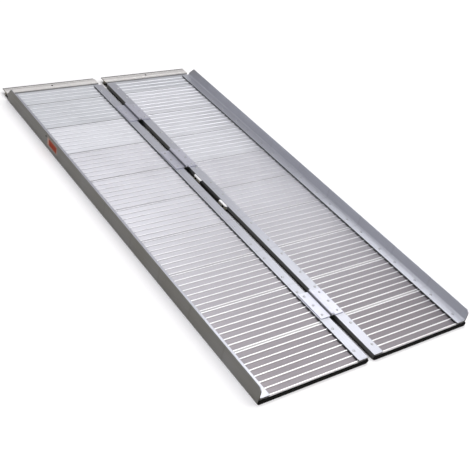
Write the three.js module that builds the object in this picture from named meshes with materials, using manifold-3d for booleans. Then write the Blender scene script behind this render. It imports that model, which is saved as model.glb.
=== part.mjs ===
// Portable wheelchair ramp that folds lengthwise like a suitcase, in millimetres.
// X runs across the ramp, +Y runs up it to the lips that rest on the step, and +Z is up.
// The origin is at the bottom centre of the open ramp, laid flat on its rails.
import * as THREE from "three";
import { mergeVertices } from "three/addons/utils/BufferGeometryUtils.js";
import Module from "manifold-3d";

const wasm = await Module();
wasm.setup();

// Whole ramp
const overallLength = 1530;
const overallWidth = 725;
const overallHeight = 51;
const centreGap = 21.2; // open space between the two panels
const fit = 0.3; // clearance where two pieces lie against each other

// Rails: both are extrusions that hold the ends of the deck planks between two flanges
const railLength = 1475;
const railWall = 2.8;
const flangeTop = 17;
const innerFlange = 32.4;
const innerFoot = 27;
const innerChamfer = 5;
const outerFlange = 34;
const outerFoot = 29;
const curbFillet = 5;
const curbEndRadius = 14;
const curbFarCut = { run: 24, drop: 27 }; // slanted cut at the curb's end beside the lip
const footEndRadius = 4;
const edgeBreak = 0.8;
const railFootCorner = 1.5;
const innerTopCorner = 1.2;

// Deck planks: a thin skin with tread ribs on top and T-shaped legs below
const planksPerPanel = 10;
const plankPitch = 155.7;
const plankJoint = 0.4;
const plankSkin = 2;
const ribHeight = 2;
const ribBase = 4.8;
const ribProfile = [[1, 0], [0.84, 0.62], [0.5, 0.92], [0, 1], [-0.5, 0.92], [-0.84, 0.62], [-1, 0]];
const ribsPerPlank = 8;
const ribPitch = 21.1;
const legThickness = 2;
const footWidth = 9;
const footThickness = 1.6;
const legInset = 9.5;
const legsPerPlank = 5;

// Lips: one angle section per panel, riveted over the end of the last plank
const lipDepth = 38;
const lipInnerEnd = { left: 17.5, right: 11.5 };
const lipOuterEnd = 360;
const lipCorner = { left: [8, 14], right: [1, 1] };
const lipThickness = 3.3;
const lipLegAt = 11.3;
const lipLegThickness = 2.8;
const lipBevel = [4, 1.9];
const lipGrooves = [9, 23];
const lipGroove = [2.4, 0.8];
const lipHole = { x: 188, inset: 20, diameter: 6.4 };

// Rubber strip across the end that stands on the ground
const stripDepth = 3.4;
const stripTop = 10.5;

// Hinges
const hingeLength = 103;
const hingeCentres = [217, 964.5, 1269];
const hingeNames = ["near", "middle", "far"];
const leafReach = 39.5;
const leafThickness = 2.6;
const leafCorner = 2;
const pinDiameter = 6;
const knuckleRadius = pinDiameter / 2 + leafThickness;
const knuckles = 4;
const knuckleGap = 0.4;
const boreClearance = 0.15;
const leafRelief = 0.9;

// Carry handle: a flexible strap held by two metal end caps on the right panel
const handleCentre = 781;
const handleLength = 184;
const capLength = 38;
const capHeight = 11.4;
const capDepth = 8;
const capWall = 1.4;
const capRound = 3.4;
const capNose = 6; // radius of its outer end, seen from above
const strapHeight = 8;
const strapThickness = 3.2;
const strapStandOff = 1.6;
const gripLength = 98;
const gripThickness = 5.6;
const gripHeight = 9.6;
const screwInset = 13;
const screwHead = { diameter: 7, height: 1.7 };
const screwShank = 3.6;
const screwLength = 14;

// Small pieces on the left outer rail
const label = { length: 70, height: 28, thickness: 0.3, centre: 1132, above: 9.5 };
const curbPlug = { diameter: 7, head: 9, headHeight: 1.2, along: 1178, above: 18 };

// Places worked out from the dimensions above
const nearEnd = -overallLength / 2;
const bodyStart = nearEnd + stripDepth + fit;
const farEnd = overallLength / 2;
const gapSide = centreGap / 2;
const outerFace = overallWidth / 2;
const flangeUnder = flangeTop - railWall;
const ribTop = flangeUnder - fit;
const skinTop = ribTop - ribHeight;
const skinUnder = skinTop - plankSkin;
const plankFoot = railWall + fit;
const plankInnerEnd = gapSide + innerChamfer + railWall * 0.42 + fit;
const plankOuterEnd = outerFace - railWall - fit;
const lipStart = farEnd - lipDepth;
const hingeAxis = flangeTop + fit + knuckleRadius;
const leafUnder = flangeTop + fit;
const midFlange = (innerChamfer + flangeUnder) / 2 + 0.9; // height of the middle of the web's flat face

const aluminium = new THREE.MeshStandardMaterial({ color: 0xcdced6, roughness: 0.38, metalness: 1 });
const railAluminium = new THREE.MeshStandardMaterial({ color: 0xb9bac3, roughness: 0.45, metalness: 1 });
const zincSteel = new THREE.MeshStandardMaterial({ color: 0xd6d7de, roughness: 0.35, metalness: 1 });
const chrome = new THREE.MeshStandardMaterial({ color: 0xe6e6e8, roughness: 0.12, metalness: 1 });
const rubber = new THREE.MeshStandardMaterial({ color: 0x161414, roughness: 0.8, metalness: 0 });
const vinyl = new THREE.MeshStandardMaterial({ color: 0xb5482c, roughness: 0.5, metalness: 0 });

// ---- Solids ----

// A closed geometry as a manifold solid.
function solid(geometry) {
  const bare = geometry.clone();
  bare.deleteAttribute("normal");
  bare.deleteAttribute("uv");
  const merged = mergeVertices(bare, 1e-4);
  return new wasm.Manifold(
    new wasm.Mesh({
      numProp: 3,
      vertProperties: merged.attributes.position.array,
      triVerts: new Uint32Array(merged.index.array),
    }),
  );
}

// A manifold solid as a geometry that can be drawn.
function drawn(body) {
  const mesh = body.getMesh();
  const geometry = new THREE.BufferGeometry();
  geometry.setAttribute("position", new THREE.BufferAttribute(new Float32Array(mesh.vertProperties), 3));
  geometry.setIndex(new THREE.BufferAttribute(new Uint32Array(mesh.triVerts), 1));
  const flat = geometry.toNonIndexed();
  flat.computeVertexNormals();
  return flat;
}

function cut(geometry, ...tools) {
  return drawn(tools.reduce((body, tool) => body.subtract(solid(tool)), solid(geometry)));
}

function join(...geometries) {
  return geometries.map(solid).reduce((body, next) => body.add(next));
}

// An outline of [across, up] pairs, turned over to the other side of the ramp when side is -1.
function outline(points, side = 1) {
  return new THREE.Shape(points.map(([across, up]) => new THREE.Vector2(side * across, up)));
}

function extrude(shape, length) {
  return new THREE.ExtrudeGeometry(shape, { depth: length, bevelEnabled: false, curveSegments: 8 });
}

// An outline in Y and Z, drawn out along X.
function alongX(shape, from, to) {
  const turn = new THREE.Matrix4().makeBasis(
    new THREE.Vector3(0, 1, 0),
    new THREE.Vector3(0, 0, 1),
    new THREE.Vector3(1, 0, 0),
  );
  return extrude(shape, to - from).applyMatrix4(turn).translate(from, 0, 0);
}

// An outline in X and Z, drawn out along Y.
function alongY(shape, from, to) {
  const turn = new THREE.Matrix4().makeBasis(
    new THREE.Vector3(1, 0, 0),
    new THREE.Vector3(0, 0, 1),
    new THREE.Vector3(0, -1, 0),
  );
  return extrude(shape, to - from).applyMatrix4(turn).translate(0, to, 0);
}

function alongZ(shape, from, to) {
  return extrude(shape, to - from).translate(0, 0, from);
}

function block(x, y, z) {
  const size = [x, y, z].map(([from, to]) => to - from);
  return new THREE.BoxGeometry(...size).translate(x[0] + size[0] / 2, y[0] + size[1] / 2, z[0] + size[2] / 2);
}

// A round bar along X, Y or Z, given by its middle.
function round(axis, radius, length, middle, sides = 24) {
  const bar = new THREE.CylinderGeometry(radius, radius, length, sides);
  if (axis === "x") bar.rotateZ(Math.PI / 2);
  if (axis === "z") bar.rotateX(Math.PI / 2);
  return bar.translate(...middle);
}

// Points of an arc in degrees, for an outline.
function arc(centre, radius, from, to, steps = 6) {
  return Array.from({ length: steps + 1 }, (_, i) => {
    const angle = THREE.MathUtils.degToRad(from + ((to - from) * i) / steps);
    return [centre[0] + radius * Math.cos(angle), centre[1] + radius * Math.sin(angle)];
  });
}

// A rectangle with rounded corners.
function rounded(x, y, radius, steps = 4) {
  return [
    ...arc([x[1] - radius, y[0] + radius], radius, -90, 0, steps),
    ...arc([x[1] - radius, y[1] - radius], radius, 0, 90, steps),
    ...arc([x[0] + radius, y[1] - radius], radius, 90, 180, steps),
    ...arc([x[0] + radius, y[0] + radius], radius, 180, 270, steps),
  ];
}

// ---- Rails ----

// What a round corner takes off the ground end of a rail: everything outside a quarter circle.
function cornerCutter(x, radius, level) {
  const up = level > 0;
  const turnHeight = up ? level - radius : radius;
  const outside = up ? level + 1 : -1;
  const turnAt = bodyStart + radius;
  const before = bodyStart - 1;
  const bow = arc([turnAt, turnHeight], radius, 180, up ? 90 : 270, 8);
  return alongX(outline([...bow, [turnAt, outside], [before, outside], [before, turnHeight]]), ...x);
}

function outerRailOutline() {
  const inside = outerFace - railWall;
  const flangeEdge = outerFace - outerFlange;
  const crown = overallHeight - railWall / 2;
  return [
    [outerFace - outerFoot, 0],
    ...arc([outerFace - railFootCorner, railFootCorner], railFootCorner, -90, 0, 3),
    ...arc([outerFace - railWall / 2, crown], railWall / 2, 0, 180, 8),
    ...arc([inside - curbFillet, flangeTop + curbFillet], curbFillet, 0, -90, 6),
    [flangeEdge + edgeBreak, flangeTop],
    [flangeEdge, flangeTop - edgeBreak],
    [flangeEdge, flangeUnder],
    [inside, flangeUnder],
    [inside, railWall],
    [outerFace - outerFoot, railWall],
  ];
}

// What is cut off the far end of the curb: a wedge that reaches a little past the metal.
function curbFarCutter(x) {
  const { run, drop } = curbFarCut;
  const railEnd = bodyStart + railLength;
  const over = 0.1;
  const above = [railEnd - run * (1 + over), overallHeight + drop * over];
  const beyond = [railEnd + run * over, overallHeight - drop * (1 + over)];
  return alongX(outline([above, beyond, [beyond[0], above[1]]]), ...x);
}

function outerRail(side) {
  const reach = [side * (outerFace + 1), side * (outerFace - outerFlange - 1)].sort((a, b) => a - b);
  const tools = [
    cornerCutter(reach, curbEndRadius, overallHeight),
    cornerCutter(reach, footEndRadius, 0),
    curbFarCutter(reach),
  ];
  if (side < 0) {
    tools.push(labelPocket(), plugHole());
  }
  return cut(alongY(outline(outerRailOutline(), side), bodyStart, bodyStart + railLength), ...tools);
}

function innerRailOutline() {
  const inside = gapSide + railWall;
  const mitre = innerChamfer + railWall * (Math.SQRT2 - 1);
  const flangeEdge = gapSide + innerFlange;
  return [
    [gapSide + innerChamfer, 0],
    [gapSide + innerFoot, 0],
    [gapSide + innerFoot, railWall],
    [gapSide + mitre, railWall],
    [inside, mitre],
    [inside, flangeUnder],
    [flangeEdge, flangeUnder],
    [flangeEdge, flangeTop - edgeBreak],
    [flangeEdge - edgeBreak, flangeTop],
    ...arc([gapSide + innerTopCorner, flangeTop - innerTopCorner], innerTopCorner, 90, 180, 4),
    [gapSide, innerChamfer],
  ];
}

function innerRail(side) {
  const rail = alongY(outline(innerRailOutline(), side), bodyStart, bodyStart + railLength);
  if (side < 0) return rail;
  const holes = [-1, 1].map((end) => round("x", screwShank / 2 + fit, 3 * railWall, screwMiddle(end), 12));
  return cut(rail, ...holes);
}

// ---- Deck ----

// The tread side of a plank, from its far edge back to its near edge.
function treadPoints(treadEnd) {
  const first = (plankPitch - (ribsPerPlank - 1) * ribPitch) / 2;
  const centres = Array.from({ length: ribsPerPlank }, (_, i) => first + i * ribPitch);
  return centres
    .filter((at) => at + ribBase / 2 < treadEnd)
    .reverse()
    .flatMap((at) => ribProfile.map(([across, up]) => [at + across * ribBase / 2, skinTop + up * ribHeight]));
}

// The underside of a plank, from its near edge to its far edge.
function legPoints(length) {
  const step = (plankPitch - 2 * legInset) / (legsPerPlank - 1);
  const centres = Array.from({ length: legsPerPlank }, (_, i) => legInset + i * step);
  const footTop = plankFoot + footThickness;
  return centres
    .filter((at) => at + footWidth / 2 < length)
    .flatMap((at) => [
      [at - legThickness / 2, skinUnder],
      [at - legThickness / 2, footTop],
      [at - footWidth / 2, footTop],
      [at - footWidth / 2, plankFoot],
      [at + footWidth / 2, plankFoot],
      [at + footWidth / 2, footTop],
      [at + legThickness / 2, footTop],
      [at + legThickness / 2, skinUnder],
    ]);
}

// The plank nearest the step is cut short, against the leg of the lip, and has no ribs under it.
function plank(side, index) {
  const start = bodyStart + index * plankPitch;
  const room = lipStart + lipLegAt - fit - start;
  const length = Math.min(plankPitch - plankJoint, room);
  const section = [[0, skinUnder], ...legPoints(length), [length, skinUnder], [length, skinTop],
    ...treadPoints(Math.min(length, lipStart - fit - start)), [0, skinTop]];
  const ends = [side * plankInnerEnd, side * plankOuterEnd].sort((a, b) => a - b);
  return alongX(outline(section.map(([along, up]) => [start + along, up])), ...ends);
}

function lipOutline() {
  const under = skinTop + fit;
  const overhang = flangeTop - lipThickness;
  const [bevelRun, bevelDrop] = lipBevel;
  const [grooveWidth, grooveDrop] = lipGroove;
  const grooves = [...lipGrooves].reverse().flatMap((at) => [
    [at + grooveWidth / 2, flangeTop],
    [at, flangeTop - grooveDrop],
    [at - grooveWidth / 2, flangeTop],
  ]);
  return [
    [0, under],
    [lipLegAt, under],
    [lipLegAt, plankFoot],
    [lipLegAt + lipLegThickness, plankFoot],
    [lipLegAt + lipLegThickness, overhang],
    [lipDepth - 1, overhang],
    [lipDepth, overhang + 1],
    [lipDepth, flangeTop - bevelDrop],
    [lipDepth - bevelRun, flangeTop],
    ...grooves,
    [edgeBreak, flangeTop],
    [0, flangeTop - edgeBreak],
  ];
}

function lip(side) {
  const hand = side < 0 ? "left" : "right";
  const inner = lipInnerEnd[hand];
  const [cornerX, cornerY] = lipCorner[hand];
  const ends = [side * inner, side * lipOuterEnd].sort((a, b) => a - b);
  const section = lipOutline().map(([along, up]) => [lipStart + along, up]);
  const corner = outline([[inner - 1, farEnd + 1], [inner - 1, farEnd - cornerY - 1.8],
    [inner + cornerX + 0.6, farEnd + 1]], side);
  const holeMiddle = [side * lipHole.x, farEnd - lipHole.inset, flangeTop];
  const hole = round("z", lipHole.diameter / 2, 20, holeMiddle, 16);
  return cut(alongX(outline(section), ...ends), alongZ(corner, 0, overallHeight), hole);
}

function endStrip(side) {
  const section = [
    [gapSide + innerChamfer, 0],
    [outerFace - railFootCorner, 0],
    [outerFace, railFootCorner],
    [outerFace, stripTop],
    [gapSide, stripTop],
    [gapSide, innerChamfer],
  ];
  return alongY(outline(section, side), nearEnd, nearEnd + stripDepth);
}

// ---- Hinges ----

// A leaf with its knuckles: the left leaf has the first and third, the right leaf the second and fourth.
function hingeLeaf(side, centre) {
  const from = nearEnd + centre - hingeLength / 2;
  const step = hingeLength / knuckles;
  const own = Array.from({ length: knuckles }, (_, i) => i).filter((i) => (i % 2 === 0) === (side < 0));
  const relief = knuckleRadius + leafRelief;
  const plate = alongZ(
    outline(rounded([relief, leafReach], [from, from + hingeLength], leafCorner), side),
    leafUnder,
    leafUnder + leafThickness,
  );
  const pieces = own.flatMap((i) => {
    const span = [from + i * step + knuckleGap / 2, from + (i + 1) * step - knuckleGap / 2];
    const tongue = [0, side * (relief + leafCorner + 1)].sort((a, b) => a - b);
    const middle = [0, (span[0] + span[1]) / 2, hingeAxis];
    return [
      block(tongue, span, [leafUnder, leafUnder + leafThickness]),
      round("y", knuckleRadius, span[1] - span[0], middle, 32),
    ];
  });
  const pinMiddle = [0, from + hingeLength / 2, hingeAxis];
  const bore = round("y", pinDiameter / 2 + boreClearance, hingeLength + 2, pinMiddle, 32);
  return drawn(join(plate, ...pieces).subtract(solid(bore)));
}

function hingePin(centre) {
  const half = hingeLength / 2 + 0.8;
  const radius = pinDiameter / 2;
  const profile = [
    [0, -half],
    [radius - 1, -half],
    [radius, -half + 1],
    [radius, half - 1],
    [radius - 1, half],
    [0, half],
  ];
  return new THREE.LatheGeometry(profile.map(([r, y]) => new THREE.Vector2(r, y)), 24)
    .translate(0, nearEnd + centre, hingeAxis);
}

// ---- Carry handle ----

const handleMiddle = nearEnd + handleCentre;

// The middle of a handle screw's hole in the web; end is -1 at the near cap and 1 at the far one.
function screwMiddle(end) {
  return [gapSide, handleMiddle + end * (handleLength / 2 - screwInset), midFlange];
}

function between(end, from, to) {
  return [handleMiddle + end * from, handleMiddle + end * to].sort((a, b) => a - b);
}

// A pressed cap: closed at its outer end, open towards the grip, where the strap comes out.
function handleCap(end) {
  const back = gapSide - fit;
  const span = between(end, handleLength / 2 - capLength, handleLength / 2);
  const low = midFlange - capHeight / 2;
  const crown = rounded([back - capDepth, back + capRound], [low, low + capHeight], capRound, 5);
  const body = alongY(outline(crown), ...span);
  const behind = block([back, back + 6], [span[0] - 1, span[1] + 1], [low - 1, low + capHeight + 1]);
  const slot = block([back - capDepth + capWall, back + 1],
    between(end, handleLength / 2 - capLength - 1, handleLength / 2 - capWall),
    [low + capWall, low + capHeight - capWall]);
  const [, screwY] = screwMiddle(end);
  const hole = round("x", screwShank / 2 + fit, 4 * capWall, [back - capDepth, screwY, midFlange], 12);
  const nose = alongZ(outline(noseCutter(back, end)), low - 1, low + capHeight + 1);
  return cut(body, behind, slot, hole, nose);
}

// What rounds the outer end of a cap, seen from above.
function noseCutter(back, end) {
  const tip = handleMiddle + (end * handleLength) / 2;
  const centre = [back - capDepth + capNose, tip - end * capNose];
  const bow = arc(centre, capNose, 180, end > 0 ? 90 : 270, 6);
  const outside = back - capDepth - 1;
  return [...bow, [centre[0], tip + end], [outside, tip + end], [outside, centre[1]]];
}

function strapSection(thickness, height, radius) {
  const inside = gapSide - strapStandOff;
  const up = [midFlange - height / 2, midFlange + height / 2];
  return outline(rounded([inside - thickness, inside], up, radius, 3));
}

function handleGrip() {
  const span = between(1, -gripLength / 2, gripLength / 2);
  return alongY(strapSection(gripThickness, gripHeight, 2), ...span);
}

// The thin end of the strap, from the grip into its cap, with a slot for the screw.
function handleStrapEnd(end) {
  const span = between(end, gripLength / 2 + fit, handleLength / 2 - 4);
  const [x, y] = screwMiddle(end);
  const slot = round("x", screwShank / 2 + 0.8, 20, [x, y, midFlange], 16);
  return cut(alongY(strapSection(strapThickness, strapHeight, 1), ...span), slot);
}

function handleScrew(end) {
  const [x, y, z] = screwMiddle(end);
  const seat = x - fit - capDepth - fit;
  const rim = screwHead.diameter / 2;
  const head = [[0, 0], [rim, 0], [rim, 0.5], [rim / 2, screwHead.height], [0, screwHead.height]];
  const dome = new THREE.LatheGeometry(head.map(([r, h]) => new THREE.Vector2(r, h)), 20)
    .rotateZ(Math.PI / 2)
    .translate(seat, y, z);
  const shank = round("x", screwShank / 2, screwLength, [seat + screwLength / 2 - 0.1, y, z], 12);
  return drawn(join(dome, shank));
}

// ---- Small pieces on the left outer rail ----

function labelBox(margin, depth) {
  const y = nearEnd + label.centre;
  const z = flangeTop + label.above;
  return block([-outerFace - margin, -outerFace + depth],
    [y - label.length / 2 - margin, y + label.length / 2 + margin],
    [z - label.height / 2 - margin, z + label.height / 2 + margin]);
}

function labelPocket() {
  return labelBox(fit, label.thickness + 0.15);
}

function sideLabel() {
  return labelBox(0, label.thickness);
}

function plugMiddle() {
  return [-outerFace + railWall / 2, nearEnd + curbPlug.along, flangeTop + curbPlug.above];
}

function plugHole() {
  return round("x", curbPlug.diameter / 2 + fit, 3 * railWall, plugMiddle(), 20);
}

function plug() {
  const [, y, z] = plugMiddle();
  const inside = -outerFace + railWall + fit;
  const stemLength = railWall + fit + 0.5;
  const stem = round("x", curbPlug.diameter / 2, stemLength, [-outerFace + stemLength / 2, y, z], 20);
  const headMiddle = [inside + curbPlug.headHeight / 2, y, z];
  const head = round("x", curbPlug.head / 2, curbPlug.headHeight, headMiddle, 20);
  return drawn(join(stem, head));
}

// ---- Assembly ----

function piece(name, geometry, material) {
  const mesh = new THREE.Mesh(geometry, material);
  mesh.name = name;
  return mesh;
}

function panel(side) {
  const hand = side < 0 ? "left" : "right";
  const group = new THREE.Group();
  for (let i = 0; i < planksPerPanel; i++) {
    const number = String(i + 1).padStart(2, "0");
    group.add(piece(`${hand}_plank_${number}`, plank(side, i), aluminium));
  }
  group.add(
    piece(`${hand}_inner_rail`, innerRail(side), railAluminium),
    piece(`${hand}_outer_rail`, outerRail(side), railAluminium),
    piece(`${hand}_lip`, lip(side), aluminium),
    piece(`${hand}_end_strip`, endStrip(side), rubber),
  );
  return group;
}

function hinge(index) {
  const name = hingeNames[index];
  const centre = hingeCentres[index];
  return new THREE.Group().add(
    piece(`${name}_hinge_left_leaf`, hingeLeaf(-1, centre), zincSteel),
    piece(`${name}_hinge_right_leaf`, hingeLeaf(1, centre), zincSteel),
    piece(`${name}_hinge_pin`, hingePin(centre), zincSteel),
  );
}

function carryHandle() {
  const group = new THREE.Group().add(piece("handle_grip", handleGrip(), rubber));
  for (const [name, end] of [["near", -1], ["far", 1]]) {
    group.add(
      piece(`handle_strap_${name}`, handleStrapEnd(end), rubber),
      piece(`handle_cap_${name}`, handleCap(end), chrome),
      piece(`handle_screw_${name}`, handleScrew(end), chrome),
    );
  }
  return group;
}

const ramp = new THREE.Group();
ramp.add(panel(-1), panel(1), hinge(0), hinge(1), hinge(2), carryHandle());
ramp.add(piece("side_label", sideLabel(), vinyl), piece("curb_plug", plug(), rubber));

export default ramp;
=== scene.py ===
# Folding wheelchair ramp: finishes, rivets, carry strap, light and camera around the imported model.
# Metres, +Z up. The open ramp lies flat on its rails, with its step lips towards +Y.
import bpy
import math
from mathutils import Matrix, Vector


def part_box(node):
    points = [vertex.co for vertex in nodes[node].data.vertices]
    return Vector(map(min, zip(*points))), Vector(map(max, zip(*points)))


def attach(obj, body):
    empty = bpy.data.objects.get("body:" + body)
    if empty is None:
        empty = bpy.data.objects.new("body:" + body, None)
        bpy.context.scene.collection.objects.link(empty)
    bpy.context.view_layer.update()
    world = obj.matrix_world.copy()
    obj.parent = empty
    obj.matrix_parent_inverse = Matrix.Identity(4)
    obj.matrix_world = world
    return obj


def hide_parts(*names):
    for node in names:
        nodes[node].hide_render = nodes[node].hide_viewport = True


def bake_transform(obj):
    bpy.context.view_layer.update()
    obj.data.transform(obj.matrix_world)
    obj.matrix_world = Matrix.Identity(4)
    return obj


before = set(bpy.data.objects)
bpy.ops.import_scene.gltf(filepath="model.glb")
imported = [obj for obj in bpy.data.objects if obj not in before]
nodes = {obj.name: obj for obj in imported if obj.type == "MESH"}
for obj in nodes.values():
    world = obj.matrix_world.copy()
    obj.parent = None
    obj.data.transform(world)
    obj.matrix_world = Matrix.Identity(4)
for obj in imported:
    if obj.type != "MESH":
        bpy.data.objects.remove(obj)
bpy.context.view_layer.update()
print("frame loaded:", len(nodes), "nodes")


def linearFrom(hexCode):  # sRGB hex to a linear colour with alpha
    parts = [int(hexCode[i:i + 2], 16) / 255 for i in (0, 2, 4)]
    return [c / 12.92 if c <= 0.04045 else ((c + 0.055) / 1.055) ** 2.4 for c in parts] + [1.0]


def addNode(tree, kind, settings=None, inputs=None):  # an input is a value, or the socket it comes from
    node = tree.nodes.new(kind)
    for name, value in (settings or {}).items():
        setattr(node, name, value)
    for name, value in (inputs or {}).items():
        if isinstance(value, bpy.types.NodeSocket):
            tree.links.new(value, node.inputs[name])
        else:
            node.inputs[name].default_value = value
    return node


def newMaterial(name):
    material = bpy.data.materials.new(name)
    material.use_nodes = True
    material.node_tree.nodes.clear()
    return material


def closeMaterial(material, shader):
    addNode(material.node_tree, "ShaderNodeOutputMaterial", inputs={"Surface": shader.outputs[0]})
    return material


def addObject(name, data):
    made = bpy.data.objects.new(name, data)
    bpy.context.scene.collection.objects.link(made)
    return made


def dress(material, *names):
    for name in names:
        nodes[name].data.materials.clear()
        nodes[name].data.materials.append(material)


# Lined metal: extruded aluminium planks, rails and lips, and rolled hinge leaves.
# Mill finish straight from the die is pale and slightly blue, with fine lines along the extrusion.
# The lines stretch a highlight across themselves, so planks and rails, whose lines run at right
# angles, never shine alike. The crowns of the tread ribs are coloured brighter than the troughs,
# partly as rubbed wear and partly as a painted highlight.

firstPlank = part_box("left_plank_01")
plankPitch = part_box("left_plank_02")[0].y - firstPlank[0].y
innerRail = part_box("right_inner_rail")
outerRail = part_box("right_outer_rail")
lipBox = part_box("right_lip")
flangeTop = innerRail[1].z
ribTop = firstPlank[1].z
ribHeight = 0.002

rail = {
    "trough": "c4c6ce",
    "crown": "c4c6ce",
    "roughness": 0.42,
    "clouding": (-0.04, 0.06),     # how far the roughness strays
    "polish": 0.0,                 # how much smoother the crowns are
    "spread": 0.85,                # anisotropy
    "across": 420,                 # lines per metre, coarser than the real 0.5 mm to show at all
    "along": 2.5,
    "depth": 0.00002,
    "lineTone": 0.08,              # how much darker a line may be
    "plankTone": 0.0,              # and a whole plank
    "seed": 3.7,
    "seam": 1.0,
    "alongX": False,
    "paintedShadeBands": [      # painted shade on the webs in the centre gap and on the flange edges over the deck
        ("X", innerRail[0].x, 0.0006, 0.5),      # axis, middle, half width, tone
        ("X", innerRail[1].x, 0.0007, 0.3),
        ("X", outerRail[0].x, 0.0008, 0.35),
    ],
}
hingeLeaf = {
    **rail,
    "trough": "cdced9",
    "crown": "cdced9",
    "across": 900,
    "along": 12,
    "lineTone": 0.05,
    "paintedShadeBands": [("X", 0.0055, 0.001, 0.4)],      # painted shade beside the barrel
}
deck = {
    **rail,
    # crowns coloured brighter than troughs: partly rubbed wear, partly a painted highlight
    "trough": "cbcbd1",
    "crown": "d6d6da",
    "paintedNearEnd": ("918c90", "ffffff"),   # painted towards the ground end: troughs darker for the dark reflection there, crowns brighter, partly rubbed and partly a painted highlight
    "roughness": 0.43,
    "polish": 0.1,
    "spread": 0.6,
    "across": 340,
    "along": 3,
    "depth": 0.00003,
    "lineTone": 0.1,
    "plankTone": 0.03,
    "seam": 0.62,              # tone of the dirt in the seams beyond the painted near end
    "alongX": True,
    "paintedShadeBands": [],
}
greyDeck = {**deck, "trough": "c4c6cb", "crown": "d8dade"}        # some planks are from a greyer batch
paleDeck = {**deck, "trough": "d0d1d6", "crown": "dbdce1"}        # and some from a paler one
lipFinish = {
    **deck,
    "trough": "d7d5d3",
    "crown": "d7d5d3",
    "paintedNearEnd": ("d7d5d3", "d7d5d3"),
    "plankTone": 0.0,
    "seam": 1.0,
    "paintedShadeBands": [             # painted shade on the bevel, in the two grooves and on the step down to the deck
        ("Y", lipBox[1].y, 0.0075, 0.05),
        ("Y", lipBox[1].y - 0.015, 0.002, 0.5),
        ("Y", lipBox[1].y - 0.029, 0.0014, 0.8),
        ("Y", lipBox[0].y, 0.0004, 0.6),
    ],
    "hole": (0.188, lipBox[1].y - 0.02, 0.0035, 0.15),     # x, y, radius of its wall, painted dark for shade, tone
}
wearAndPaintedLight = {                       # places along the ramp are from its middle
    "paintedNearFrom": -0.72,      # the painted near end fades out from here
    "paintedNearTo": 0.02,
    "dirtyFrom": -0.1,         # and the seams get dirtier from here
    "dirtyTo": 0.45,
    "cleanSeam": 0.93,         # tone of a seam before that
    "seamWidth": 0.005,
    "seamBand": 0.0045,        # painted highlight on both sides of a seam near the ground end
    "seamShine": 0.5,
}
greyPlanks = ("left_plank_09", "left_plank_10", "right_plank_10")
palePlanks = ("left_plank_08", "right_plank_07", "right_plank_08", "right_plank_09")


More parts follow.
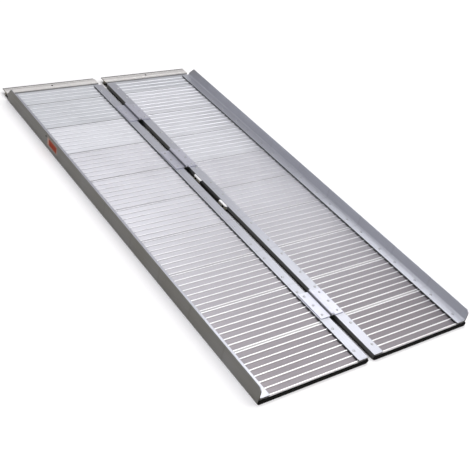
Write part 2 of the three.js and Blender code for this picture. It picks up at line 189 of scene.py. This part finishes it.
def linedMetal(name, look):
    material = newMaterial(name)
    tree = material.node_tree
    place = addNode(tree, "ShaderNodeTexCoord").outputs["Object"]
    axes = addNode(tree, "ShaderNodeSeparateXYZ", inputs={"Vector": place})
    across, along = look["across"], look["along"]
    stretch = (along, across, across) if look["alongX"] else (across, along, across)
    stretched = addNode(tree, "ShaderNodeMapping", inputs={"Vector": place, "Scale": stretch})
    lines = addNode(tree, "ShaderNodeTexNoise", inputs={
        "Vector": stretched.outputs[0], "Scale": 1.0, "Detail": 3.0, "Roughness": 0.6})
    patches = addNode(tree, "ShaderNodeTexNoise", inputs={
        "Vector": place, "Scale": 9.0, "Detail": 4.0, "Roughness": 0.55})

    # a tone for each plank, from its place in the row and its side of the ramp
    row = addNode(tree, "ShaderNodeMath", {"operation": "MULTIPLY_ADD"}, {
        0: axes.outputs["Y"], 1: 1 / plankPitch, 2: -firstPlank[0].y / plankPitch})
    number = addNode(tree, "ShaderNodeMath", {"operation": "FLOOR"}, {0: row.outputs[0]})
    side = addNode(tree, "ShaderNodeMath", {"operation": "SIGN"}, {0: axes.outputs["X"]})
    key = addNode(tree, "ShaderNodeCombineXYZ", inputs={
        "X": number.outputs[0], "Y": side.outputs[0], "Z": look["seed"]})
    plankNoise = addNode(tree, "ShaderNodeTexWhiteNoise", {"noise_dimensions": "3D"}, {
        "Vector": key.outputs[0]})
    plankTone = addNode(tree, "ShaderNodeMapRange", inputs={
        "Value": plankNoise.outputs["Value"],
        "To Min": 1 - look["plankTone"], "To Max": 1.0})
    lineTone = addNode(tree, "ShaderNodeMapRange", inputs={
        "Value": lines.outputs[0], "From Min": 0.3, "From Max": 0.7,
        "To Min": 1 - look["lineTone"], "To Max": 1.0})

    # dirt in the seams: how far the point is from the nearest one, as a share of the pitch
    # painted near end: troughs darker for the dark reflection and crowns brighter for the highlight
    # towards the ground end
    nearPaintFade = addNode(tree, "ShaderNodeMapRange", {"interpolation_type": "SMOOTHSTEP"}, {
        "Value": axes.outputs["Y"], "From Min": wearAndPaintedLight["paintedNearFrom"], "From Max": wearAndPaintedLight["paintedNearTo"]})
    seam = addNode(tree, "ShaderNodeMath", {"operation": "PINGPONG"}, {0: row.outputs[0], 1: 0.5})
    seamDirt = addNode(tree, "ShaderNodeMapRange", inputs={
        "Value": axes.outputs["Y"], "From Min": wearAndPaintedLight["dirtyFrom"], "From Max": wearAndPaintedLight["dirtyTo"],
        "To Min": wearAndPaintedLight["cleanSeam"], "To Max": look["seam"]})
    seamShare = wearAndPaintedLight["seamWidth"] / plankPitch
    seamTone = addNode(tree, "ShaderNodeMapRange", inputs={
        "Value": seam.outputs[0], "From Min": seamShare * 0.3, "From Max": seamShare,
        "To Min": seamDirt.outputs[0], "To Max": 1.0})
    tones = [plankTone, lineTone, seamTone]

    # painted shade in bands, and on the wall of a hole; both sides of the ramp have the same
    out = addNode(tree, "ShaderNodeMath", {"operation": "ABSOLUTE"}, {0: axes.outputs["X"]})
    for axis, middle, width, tone in look["paintedShadeBands"]:
        near = addNode(tree, "ShaderNodeMath", {"operation": "COMPARE"}, {
            0: out.outputs[0] if axis == "X" else axes.outputs[axis], 1: middle, 2: width})
        tones.append(addNode(tree, "ShaderNodeMapRange", inputs={
            "Value": near.outputs[0], "To Min": 1.0, "To Max": tone}))
    # painted shade on the wall of the hole
    if "hole" in look:
        x, y, radius, holeTone = look["hole"]
        flat = addNode(tree, "ShaderNodeCombineXYZ", inputs={
            "X": out.outputs[0], "Y": axes.outputs["Y"]})
        away = addNode(tree, "ShaderNodeVectorMath", {"operation": "DISTANCE"}, {
            0: flat.outputs[0], 1: (x, y, 0.0)})
        wall = addNode(tree, "ShaderNodeMath", {"operation": "LESS_THAN"}, {
            0: away.outputs["Value"], 1: radius})
        tones.append(addNode(tree, "ShaderNodeMapRange", inputs={
            "Value": wall.outputs[0], "To Min": 1.0, "To Max": holeTone}))
    tone = tones[0]
    for further in tones[1:]:
        tone = addNode(tree, "ShaderNodeMath", {"operation": "MULTIPLY"}, {
            0: tone.outputs[0], 1: further.outputs[0]})

    # crowns: the tops of the ribs, brighter partly as rubbed wear and partly as a painted highlight,
    # and the rims of the seams near the ground end, a painted highlight
    ribMask = addNode(tree, "ShaderNodeMapRange", inputs={
        "Value": axes.outputs["Z"],
        "From Min": ribTop - ribHeight * 0.95, "From Max": ribTop - ribHeight * 0.5})
    seamShine = addNode(tree, "ShaderNodeMapRange", inputs={
        "Value": nearPaintFade.outputs[0], "To Min": wearAndPaintedLight["seamShine"], "To Max": 0.0})
    bandShare = wearAndPaintedLight["seamBand"] / plankPitch
    seamMask = addNode(tree, "ShaderNodeMapRange", inputs={
        "Value": seam.outputs[0], "From Min": bandShare, "From Max": bandShare * 1.2,
        "To Min": seamShine.outputs[0], "To Max": 0.0})
    crown = addNode(tree, "ShaderNodeMath", {"operation": "MAXIMUM"}, {
        0: ribMask.outputs[0], 1: seamMask.outputs[0]})
    nearTrough, nearCrown = look.get("paintedNearEnd", (look["trough"], look["crown"]))
    trough = addNode(tree, "ShaderNodeMix", {"data_type": "RGBA"}, {
        0: nearPaintFade.outputs[0], 6: linearFrom(nearTrough), 7: linearFrom(look["trough"])})
    shiny = addNode(tree, "ShaderNodeMix", {"data_type": "RGBA"}, {
        0: nearPaintFade.outputs[0], 6: linearFrom(nearCrown), 7: linearFrom(look["crown"])})
    colour = addNode(tree, "ShaderNodeMix", {"data_type": "RGBA"}, {
        0: crown.outputs[0], 6: trough.outputs[2], 7: shiny.outputs[2]})
    shaded = addNode(tree, "ShaderNodeVectorMath", {"operation": "SCALE"}, {
        0: colour.outputs[2], "Scale": tone.outputs[0]})

    # sheen: cloudy roughness, fine lines in the bump, and a highlight drawn out across them
    patchy = addNode(tree, "ShaderNodeMapRange", inputs={
        "Value": patches.outputs[0], "From Min": 0.3, "From Max": 0.7,
        "To Min": look["roughness"] + look["clouding"][0],
        "To Max": look["roughness"] + look["clouding"][1]})
    roughness = addNode(tree, "ShaderNodeMath", {"operation": "MULTIPLY_ADD"}, {
        0: crown.outputs[0], 1: -look["polish"], 2: patchy.outputs[0]})
    bump = addNode(tree, "ShaderNodeBump", inputs={
        "Height": lines.outputs[0], "Strength": 1.0, "Distance": look["depth"]})
    crosswise = addNode(tree, "ShaderNodeVectorTransform", {
        "vector_type": "VECTOR", "convert_from": "OBJECT", "convert_to": "WORLD"}, {
        0: (0.0, 1.0, 0.0) if look["alongX"] else (1.0, 0.0, 0.0)})
    shader = addNode(tree, "ShaderNodeBsdfPrincipled", inputs={
        "Base Color": shaded.outputs[0], "Metallic": 1.0, "Anisotropic": look["spread"],
        "Tangent": crosswise.outputs[0],
        "Roughness": roughness.outputs[0], "Normal": bump.outputs[0]})
    return closeMaterial(material, shader)


dress(linedMetal("mill-finish extruded aluminium deck", deck),
      *[name for name in nodes if "_plank_" in name])
dress(linedMetal("mill-finish extruded aluminium deck, greyer batch", greyDeck), *greyPlanks)
dress(linedMetal("mill-finish extruded aluminium deck, paler batch", paleDeck), *palePlanks)
dress(linedMetal("mill-finish extruded aluminium rail", rail),
      *[name for name in nodes if name.endswith("_rail")])
dress(linedMetal("mill-finish extruded aluminium lip", lipFinish), "left_lip", "right_lip")
dress(linedMetal("bright zinc-plated steel leaf", hingeLeaf),
      *[name for name in nodes if name.endswith("_leaf")])
print("lined metal done")


# Plain finishes: chrome, rivets, pins, rubber and plastic. Each is one base colour that a noise
# breaks up, with its own grain in the bump.

plainFinishes = {
    "bright zinc-plated steel pin": {   # pale bluish plate, faintly clouded
        "dark": "c4c6d0", "light": "dddfe8", "metallic": 1.0, "roughness": (0.3, 0.42),
        "scale": 90, "grain": 1500, "depth": 0.00001,
    },
    "satin chromed steel": {           # bright, with a little orange peel
        "dark": "f0f1f3", "light": "fbfbfc", "metallic": 1.0, "roughness": (0.26, 0.36),
        "scale": 60, "grain": 300, "depth": 0.00001,
    },
    "set aluminium rivet": {           # bright domes, dulled where the tool has pressed them
        "dark": "8d8e92", "light": "cdced2", "metallic": 1.0, "roughness": (0.28, 0.42),
        "scale": 400, "grain": 1200, "depth": 0.00001,
    },
    "extruded black rubber": {         # matt black with a fine sandy skin, on the strip along the near end
        "dark": "050505", "light": "0d0c0b", "metallic": 0.0, "roughness": (0.8, 0.95),
        "scale": 70, "grain": 1200, "depth": 0.00006, "gloss": 0.12,
    },
    "moulded black rubber strap": {    # softer sheen than the strip, worn grey in places
        "dark": "12100f", "light": "262322", "metallic": 0.0, "roughness": (0.5, 0.68),
        "scale": 120, "grain": 1600, "depth": 0.00005, "gloss": 0.3,
    },
    "steel screw darkened as recess shade": {         # coloured black as painted shade of the recess round the screw; oily sheen
        "dark": "1a1a1b", "light": "2c2c2e", "metallic": 1.0, "roughness": (0.38, 0.5),
        "scale": 200, "grain": 900, "depth": 0.00001,
    },
    "moulded black nylon": {           # even black with a faint sheen
        "dark": "0c0c0c", "light": "171717", "metallic": 0.0, "roughness": (0.4, 0.5),
        "scale": 200, "grain": 2000, "depth": 0.00003, "gloss": 0.15,
    },
}


def plainFinish(name, look):
    material = newMaterial(name)
    tree = material.node_tree
    place = addNode(tree, "ShaderNodeTexCoord").outputs["Object"]
    clouds = addNode(tree, "ShaderNodeTexNoise", inputs={
        "Vector": place, "Scale": look["scale"], "Detail": 4.0})
    grain = addNode(tree, "ShaderNodeTexNoise", inputs={
        "Vector": place, "Scale": look["grain"], "Detail": 2.0})
    colour = addNode(tree, "ShaderNodeMix", {"data_type": "RGBA"}, {
        0: clouds.outputs[0], 6: linearFrom(look["dark"]), 7: linearFrom(look["light"])})
    roughness = addNode(tree, "ShaderNodeMapRange", inputs={
        "Value": clouds.outputs[0], "From Min": 0.3, "From Max": 0.7,
        "To Min": look["roughness"][0], "To Max": look["roughness"][1]})
    bump = addNode(tree, "ShaderNodeBump", inputs={
        "Height": grain.outputs[0], "Strength": 1.0, "Distance": look["depth"]})
    shader = addNode(tree, "ShaderNodeBsdfPrincipled", inputs={
        "Base Color": colour.outputs[2], "Metallic": look["metallic"],
        "Specular IOR Level": look.get("gloss", 0.5),
        "Roughness": roughness.outputs[0], "Normal": bump.outputs[0]})
    return closeMaterial(material, shader)


plain = {name: plainFinish(name, look) for name, look in plainFinishes.items()}
dress(plain["bright zinc-plated steel pin"], *[name for name in nodes if name.endswith("_pin")])
dress(plain["satin chromed steel"], "handle_cap_near", "handle_cap_far")
dress(plain["steel screw darkened as recess shade"], "handle_screw_near", "handle_screw_far")
dress(plain["extruded black rubber"], "left_end_strip", "right_end_strip")
dress(plain["moulded black rubber strap"], "handle_grip", "handle_strap_near", "handle_strap_far")
dress(plain["moulded black nylon"], "curb_plug")


# Side label: plain two-tone vinyl without any print, smooth and slightly glossy, faded at one end.

labelLook = {
    "main": "842a17",      # warm red
    "end": "a88a80",       # the faded far end
    "edge": "8c7a74",      # a worn border
    "border": 0.004,
    "fadeFrom": 0.014,     # from the far end of the label
    "fadeTo": 0.004,
    "ragged": 0.03,        # how far the fading strays
    "roughness": 0.38,
}


def vinylLabel(look):
    material = newMaterial("plain vinyl label")
    tree = material.node_tree
    low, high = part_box("side_label")
    place = addNode(tree, "ShaderNodeTexCoord").outputs["Object"]
    axes = addNode(tree, "ShaderNodeSeparateXYZ", inputs={"Vector": place})
    fleck = addNode(tree, "ShaderNodeTexNoise", inputs={
        "Vector": place, "Scale": 110.0, "Detail": 3.0})
    edge = addNode(tree, "ShaderNodeMath", {"operation": "MULTIPLY_ADD"}, {
        0: fleck.outputs[0], 1: look["ragged"], 2: axes.outputs["Y"]})
    farEnd = high.y + look["ragged"] / 2
    fade = addNode(tree, "ShaderNodeMapRange", inputs={
        "Value": edge.outputs[0],
        "From Min": farEnd - look["fadeFrom"], "From Max": farEnd - look["fadeTo"]})
    colour = addNode(tree, "ShaderNodeMix", {"data_type": "RGBA"}, {
        0: fade.outputs[0], 6: linearFrom(look["main"]), 7: linearFrom(look["end"])})
    middle, half = (low + high) / 2, (high - low) / 2
    insideY = addNode(tree, "ShaderNodeMath", {"operation": "COMPARE"}, {
        0: axes.outputs["Y"], 1: middle.y, 2: half.y - look["border"]})
    insideZ = addNode(tree, "ShaderNodeMath", {"operation": "COMPARE"}, {
        0: axes.outputs["Z"], 1: middle.z, 2: half.z - look["border"]})
    inside = addNode(tree, "ShaderNodeMath", {"operation": "MULTIPLY"}, {
        0: insideY.outputs[0], 1: insideZ.outputs[0]})
    bordered = addNode(tree, "ShaderNodeMix", {"data_type": "RGBA"}, {
        0: inside.outputs[0], 6: linearFrom(look["edge"]), 7: colour.outputs[2]})
    bump = addNode(tree, "ShaderNodeBump", inputs={
        "Height": fleck.outputs[0], "Strength": 1.0, "Distance": 0.00004})
    shader = addNode(tree, "ShaderNodeBsdfPrincipled", inputs={
        "Base Color": bordered.outputs[2], "Roughness": look["roughness"], "Normal": bump.outputs[0]})
    return closeMaterial(material, shader)


dress(vinylLabel(labelLook), "side_label")
print("plain finishes done")


# Rivets: blind rivets hold the planks to the rails and the hinge leaves to the flanges.

rivets = {
    "flangeHead": 0.0084,
    "flangeHeight": 0.0015,
    "hingeHead": 0.0078,
    "hingeHeight": 0.0016,
    "shank": 0.002,
    "sides": 16,
    "sharpAngle": 42,          # degrees
    "seed": 7,
    "plankOffset": 0.044,      # from the middle of a plank
    "innerFlange": 0.032,      # from the middle of the ramp
    "outerFlange": 0.343,
    "leafAcross": 0.027,
    "leafAlong": 0.0392,
    "leafThickness": 0.0026,
}
# The turned profile of a set blind rivet, from the foot of its shank to the pit left by its mandrel:
# radius and height, as shares of the head's.
rivetProfile = [(0.45, -0.1), (0.45, -0.02), (1.0, -0.02), (1.0, 0.22), (0.88, 0.6), (0.62, 0.9),
                (0.36, 1.0), (0.3, 0.86), (0.24, 0.5)]


def rivetTree():
    tree = bpy.data.node_groups.new("rivets on points", "GeometryNodeTree")
    sockets = tree.interface
    sockets.new_socket("Points", in_out="INPUT", socket_type="NodeSocketGeometry")
    for name in ("Head Diameter", "Head Height", "Shank Length"):
        sockets.new_socket(name, in_out="INPUT", socket_type="NodeSocketFloat")
    for name in ("Sides", "Seed"):
        sockets.new_socket(name, in_out="INPUT", socket_type="NodeSocketInt")
    sockets.new_socket("Finish", in_out="INPUT", socket_type="NodeSocketMaterial")
    sockets.new_socket("Rivets", in_out="OUTPUT", socket_type="NodeSocketGeometry")
    given = addNode(tree, "NodeGroupInput").outputs

    # a cylinder whose rings are moved onto the profile
    rings = len(rivetProfile) - 1
    body = addNode(tree, "GeometryNodeMeshCylinder", {"fill_type": "NGON"}, {
        "Vertices": given["Sides"], "Side Segments": rings, "Radius": 1.0, "Depth": 1.0})
    place = addNode(tree, "ShaderNodeSeparateXYZ", inputs={
        0: addNode(tree, "GeometryNodeInputPosition").outputs[0]})
    ring = addNode(tree, "ShaderNodeMath", {"operation": "ADD"}, {0: place.outputs[2], 1: 0.5})
    shapes = []
    for part in (0, 1):
        curve = addNode(tree, "ShaderNodeFloatCurve", inputs={"Value": ring.outputs[0]})
        curve.mapping.use_clip = False
        points = curve.mapping.curves[0].points
        while len(points) < len(rivetProfile):
            points.new(0.5, 0.5)
        for index, pair in enumerate(rivetProfile):
            points[index].location = (index / rings, pair[part])
            points[index].handle_type = "VECTOR"
        curve.mapping.update()
        shapes.append(curve.outputs[0])
    radius = addNode(tree, "ShaderNodeMath", {"operation": "MULTIPLY"}, {
        0: shapes[0], 1: given["Head Diameter"]})
    half = addNode(tree, "ShaderNodeMath", {"operation": "MULTIPLY"}, {
        0: radius.outputs[0], 1: 0.5})
    foot = addNode(tree, "ShaderNodeMath", {"operation": "LESS_THAN"}, {
        0: ring.outputs[0], 1: 0.5 / rings})
    down = addNode(tree, "ShaderNodeMath", {"operation": "MULTIPLY"}, {
        0: foot.outputs[0], 1: given["Shank Length"]})
    up = addNode(tree, "ShaderNodeMath", {"operation": "MULTIPLY"}, {
        0: shapes[1], 1: given["Head Height"]})
    level = addNode(tree, "ShaderNodeMath", {"operation": "SUBTRACT"}, {
        0: up.outputs[0], 1: down.outputs[0]})
    x = addNode(tree, "ShaderNodeMath", {"operation": "MULTIPLY"}, {
        0: place.outputs[0], 1: half.outputs[0]})
    y = addNode(tree, "ShaderNodeMath", {"operation": "MULTIPLY"}, {
        0: place.outputs[1], 1: half.outputs[0]})
    turned = addNode(tree, "ShaderNodeCombineXYZ", inputs={
        0: x.outputs[0], 1: y.outputs[0], 2: level.outputs[0]})
    shaped = addNode(tree, "GeometryNodeSetPosition", inputs={
        "Geometry": body.outputs["Mesh"], "Position": turned.outputs[0]})

    spin = addNode(tree, "FunctionNodeRandomValue", {"data_type": "FLOAT"}, {
        2: 0.0, 3: math.tau, "Seed": given["Seed"]})
    heading = addNode(tree, "ShaderNodeCombineXYZ", inputs={2: spin.outputs[1]})
    placed = addNode(tree, "GeometryNodeInstanceOnPoints", inputs={
        "Points": given["Points"], "Instance": shaped.outputs[0], "Rotation": heading.outputs[0]})
    real = addNode(tree, "GeometryNodeRealizeInstances", inputs={0: placed.outputs[0]})
    finished = addNode(tree, "GeometryNodeSetMaterial", inputs={
        "Geometry": real.outputs[0], "Material": given["Finish"]})
    addNode(tree, "NodeGroupOutput", inputs={0: finished.outputs[0]})
    return tree


def rivetPiece(name, tree, points, head, height):
    mesh = bpy.data.meshes.new(name)
    mesh.from_pydata(points, [], [])
    source = addObject(name + "_points", mesh)
    modifier = source.modifiers.new("rivets", "NODES")
    modifier.node_group = tree
    values = {"Head Diameter": head, "Head Height": height, "Shank Length": rivets["shank"],
              "Sides": rivets["sides"], "Seed": rivets["seed"],
              "Finish": plain["set aluminium rivet"]}
    for item in tree.interface.items_tree:
        if item.item_type == "SOCKET" and item.in_out == "INPUT" and item.name in values:
            modifier[item.identifier] = values[item.name]
    bpy.context.view_layer.update()
    evaluated = source.evaluated_get(bpy.context.evaluated_depsgraph_get())
    made = bpy.data.meshes.new_from_object(evaluated)
    bpy.data.objects.remove(source)
    made.name = name
    made.polygons.foreach_set("use_smooth", [True] * len(made.polygons))
    made.set_sharp_from_angle(angle=math.radians(rivets["sharpAngle"]))
    return addObject(name, made)


hinges = ("near_hinge", "middle_hinge", "far_hinge")
railEnd = innerRail[1].y
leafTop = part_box("near_hinge_left_leaf")[0].z + rivets["leafThickness"]


def flangePoints(side):
    leaves = [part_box(hinge + "_left_leaf") for hinge in hinges]
    margin = rivets["flangeHead"] / 2
    points = []
    for row in range(10):
        middle = firstPlank[0].y + (row + 0.5) * plankPitch
        for y in (middle - rivets["plankOffset"], middle + rivets["plankOffset"]):
            if y > railEnd - margin:
                continue
            points.append((side * rivets["outerFlange"], y, flangeTop))
            if not any(low.y - margin < y < high.y + margin for low, high in leaves):
                points.append((side * rivets["innerFlange"], y, flangeTop))
    return points


def hingePoints(side, hand):
    points = []
    for hinge in hinges:
        low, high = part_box(f"{hinge}_{hand}_leaf")
        for step in (-1, 0, 1):
            y = (low.y + high.y) / 2 + step * rivets["leafAlong"]
            points.append((side * rivets["leafAcross"], y, leafTop))
    return points


rivetNodes = rivetTree()
for hand, side in (("left", -1), ("right", 1)):
    for kind, points, head, height in (
        ("flange", flangePoints(side), rivets["flangeHead"], rivets["flangeHeight"]),
        ("hinge", hingePoints(side, hand), rivets["hingeHead"], rivets["hingeHeight"]),
    ):
        piece = rivetPiece(f"{hand}_{kind}_rivets", rivetNodes, points, head, height)
        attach(piece, hand + "_panel")
print("rivets done")


# Carry strap: one flexible rubber strap, in two halves that meet at the middle of the grip.

strap = {
    "rings": 30,
    "corner": 5,            # points round each corner of the section
    "gripShare": 0.82,      # of the grip's half length at full thickness
    "ramp": 0.018,          # length over which it thins to the strap
    "thinRound": 0.0012,    # radius of its edges
    "gripRound": 0.002,
    "bendFrom": 0.054,      # from the middle: the mouth of the cap
    "bendTo": 0.016,
}
gripLow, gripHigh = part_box("handle_grip")
strapLow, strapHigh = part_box("handle_strap_near")
farLow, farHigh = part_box("handle_strap_far")
gripMiddle = (gripLow + gripHigh) / 2


def smoothStep(value):
    value = min(max(value, 0.0), 1.0)
    return value * value * (3 - 2 * value)


def sectionPoints(width, height, radius):
    points = []
    for corner in range(4):
        centreX = (width / 2 - radius) * (1 if corner in (0, 3) else -1)
        centreZ = (height / 2 - radius) * (1 if corner in (0, 1) else -1)
        for step in range(strap["corner"]):
            angle = math.radians(90 * corner + 90 * step / (strap["corner"] - 1))
            points.append((centreX + radius * math.cos(angle), centreZ + radius * math.sin(angle)))
    return points


def strapHalf(name, end, reach):
    back = gripHigh.x       # the strap's back stays flat against the same plane all along
    rows, faces = [], []
    full = (gripHigh.y - gripLow.y) / 2 * strap["gripShare"]
    for index in range(strap["rings"] + 1):
        out = reach * index / strap["rings"]
        thin = smoothStep((out - full) / strap["ramp"])
        width = (gripHigh.x - gripLow.x) * (1 - thin) + (strapHigh.x - strapLow.x) * thin
        height = (gripHigh.z - gripLow.z) * (1 - thin) + (strapHigh.z - strapLow.z) * thin
        radius = strap["gripRound"] * (1 - thin) + strap["thinRound"] * thin
        rows.append([(back - width / 2 + x, gripMiddle.y + end * out, gripMiddle.z + z)
                     for x, z in sectionPoints(width, height, radius)])
    count = len(rows[0])
    vertices = [point for row in rows for point in row]
    last = (len(rows) - 1) * count
    for first in range(0, last, count):
        for step in range(count):
            after = (step + 1) % count
            quad = [first + step, first + after, first + count + after, first + count + step]
            faces.append(quad if end > 0 else quad[::-1])
    caps = [list(range(count))[::-1], list(range(last, last + count))]
    faces += caps if end > 0 else [cap[::-1] for cap in caps]
    mesh = bpy.data.meshes.new(name)
    mesh.from_pydata(vertices, [], faces)
    mesh.polygons.foreach_set("use_smooth", [len(face) == 4 for face in faces])
    mesh.materials.append(plain["moulded black rubber strap"])
    return addObject(name, mesh)


for name, end, reach, old in (
    ("carry_strap_near", -1, gripMiddle.y - strapLow.y, ("handle_strap_near", "handle_grip")),
    ("carry_strap_far", 1, farHigh.y - gripMiddle.y, ("handle_strap_far",)),
):
    half = strapHalf(name, end, reach)
    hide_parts(*old)
    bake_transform(half)
print("carry strap done")


# Floor, light and camera.

studio = {
    "floor": "fcfcfc",
    "floorInReflections": "827d6a",      # painted reflection: glossy rays see the floor this dark, so the metal mirrors a darker floor
    "floorSize": 14.0,
    "floorReach": 0.08,            # the floor is shaded where the ramp stands this close over it
    "floorOpen": (0.44, 0.5),      # share of its sky that is still open, from full shade to none
    "floorShade": 0.06,
    "sky": "fffdff",
    "skyStrength": 0.7,
}
softboxes = {          # name: place, width, height, power; each points at the middle of the ramp
    "overheadBox": ((1.24, 1.71, 3.97), 1.6, 1.2, 36),     # lights rails near the camera, planks beyond
    "topBox": ((0.0, 0.94, 4.4), 1.6, 1.2, 20),
    "rightBox": ((2.52, 0.0, 3.73), 1.6, 1.2, 26),
    "rearBox": ((3.27, 2.94, 0.94), 1.6, 1.2, 5),
    "sideBox": ((3.81, -2.2, 0.94), 1.6, 1.2, 60),        # low, for the curbs and the floor
    "frontBox": ((-2.59, -3.56, 0.94), 1.6, 1.2, 90),
}
cameraLook = {
    "place": (-1.4397, -1.7213, 1.4644),
    "target": (-0.0353, -0.1889, 0.0),
    "roll": 14.01,                 # degrees
    "lens": 66.27,                 # mm, on the sensor below
    "sensorWidth": 36,
}


def floorMaterial():
    material = newMaterial("matt white studio floor")
    tree = material.node_tree
    place = addNode(tree, "ShaderNodeTexCoord").outputs["Object"]
    mottle = addNode(tree, "ShaderNodeTexNoise", inputs={
        "Vector": place, "Scale": 1.5, "Detail": 2.0})
    tone = addNode(tree, "ShaderNodeMapRange", inputs={
        "Value": mottle.outputs[0], "To Min": 0.985, "To Max": 1.0})
    openness = addNode(tree, "ShaderNodeAmbientOcclusion", {"samples": 16}, {
        "Distance": studio["floorReach"]})
    shade = addNode(tree, "ShaderNodeMapRange", {"interpolation_type": "SMOOTHSTEP"}, {
        "Value": openness.outputs["AO"],
        "From Min": studio["floorOpen"][0], "From Max": studio["floorOpen"][1],
        "To Min": studio["floorShade"], "To Max": 1.0})
    shaded = addNode(tree, "ShaderNodeMath", {"operation": "MULTIPLY"}, {
        0: tone.outputs[0], 1: shade.outputs[0]})
    pale = addNode(tree, "ShaderNodeVectorMath", {"operation": "SCALE"}, {
        0: linearFrom(studio["floor"])[:3], "Scale": shaded.outputs[0]})
    seen = addNode(tree, "ShaderNodeBsdfDiffuse", inputs={"Color": pale.outputs[0]})
    # painted reflection: the floor as glossy rays see it, darker than it is
    mirrored = addNode(tree, "ShaderNodeBsdfDiffuse", inputs={
        "Color": linearFrom(studio["floorInReflections"])})
    path = addNode(tree, "ShaderNodeLightPath")
    both = addNode(tree, "ShaderNodeMixShader", inputs={
        0: path.outputs["Is Glossy Ray"], 1: seen.outputs[0], 2: mirrored.outputs[0]})
    return closeMaterial(material, both)


side = studio["floorSize"] / 2
corners = [(-side, -side, 0), (side, -side, 0), (side, side, 0), (-side, side, 0)]
floorMesh = bpy.data.meshes.new("floor")
floorMesh.from_pydata(corners, [], [(0, 1, 2, 3)])
floorMesh.materials.append(floorMaterial())
addObject("floor", floorMesh)

world = bpy.data.worlds.new("studio")
world.use_nodes = True
world.node_tree.nodes.clear()
background = addNode(world.node_tree, "ShaderNodeBackground", inputs={
    "Color": linearFrom(studio["sky"]), "Strength": studio["skyStrength"]})
addNode(world.node_tree, "ShaderNodeOutputWorld", inputs={"Surface": background.outputs[0]})
bpy.context.scene.world = world


def aim(thing, place, target, roll=0.0):
    direction = Vector(target) - Vector(place)
    thing.location = place
    turn = direction.to_track_quat("-Z", "Y").to_matrix().to_4x4()
    thing.rotation_euler = (turn @ turn.Rotation(math.radians(roll), 4, "Z")).to_euler()


for name, (place, width, height, power) in softboxes.items():
    light = bpy.data.lights.new(name, "AREA")
    light.shape = "RECTANGLE"
    light.size, light.size_y, light.energy = width, height, power
    aim(addObject(name, light), place, (0, 0, 0))

camera = addObject("camera", bpy.data.cameras.new("camera"))
camera.data.lens = cameraLook["lens"]
camera.data.sensor_width = cameraLook["sensorWidth"]
aim(camera, cameraLook["place"], cameraLook["target"], cameraLook["roll"])
bpy.context.scene.camera = camera
bpy.context.scene.view_settings.view_transform = "Standard"
print("studio done")
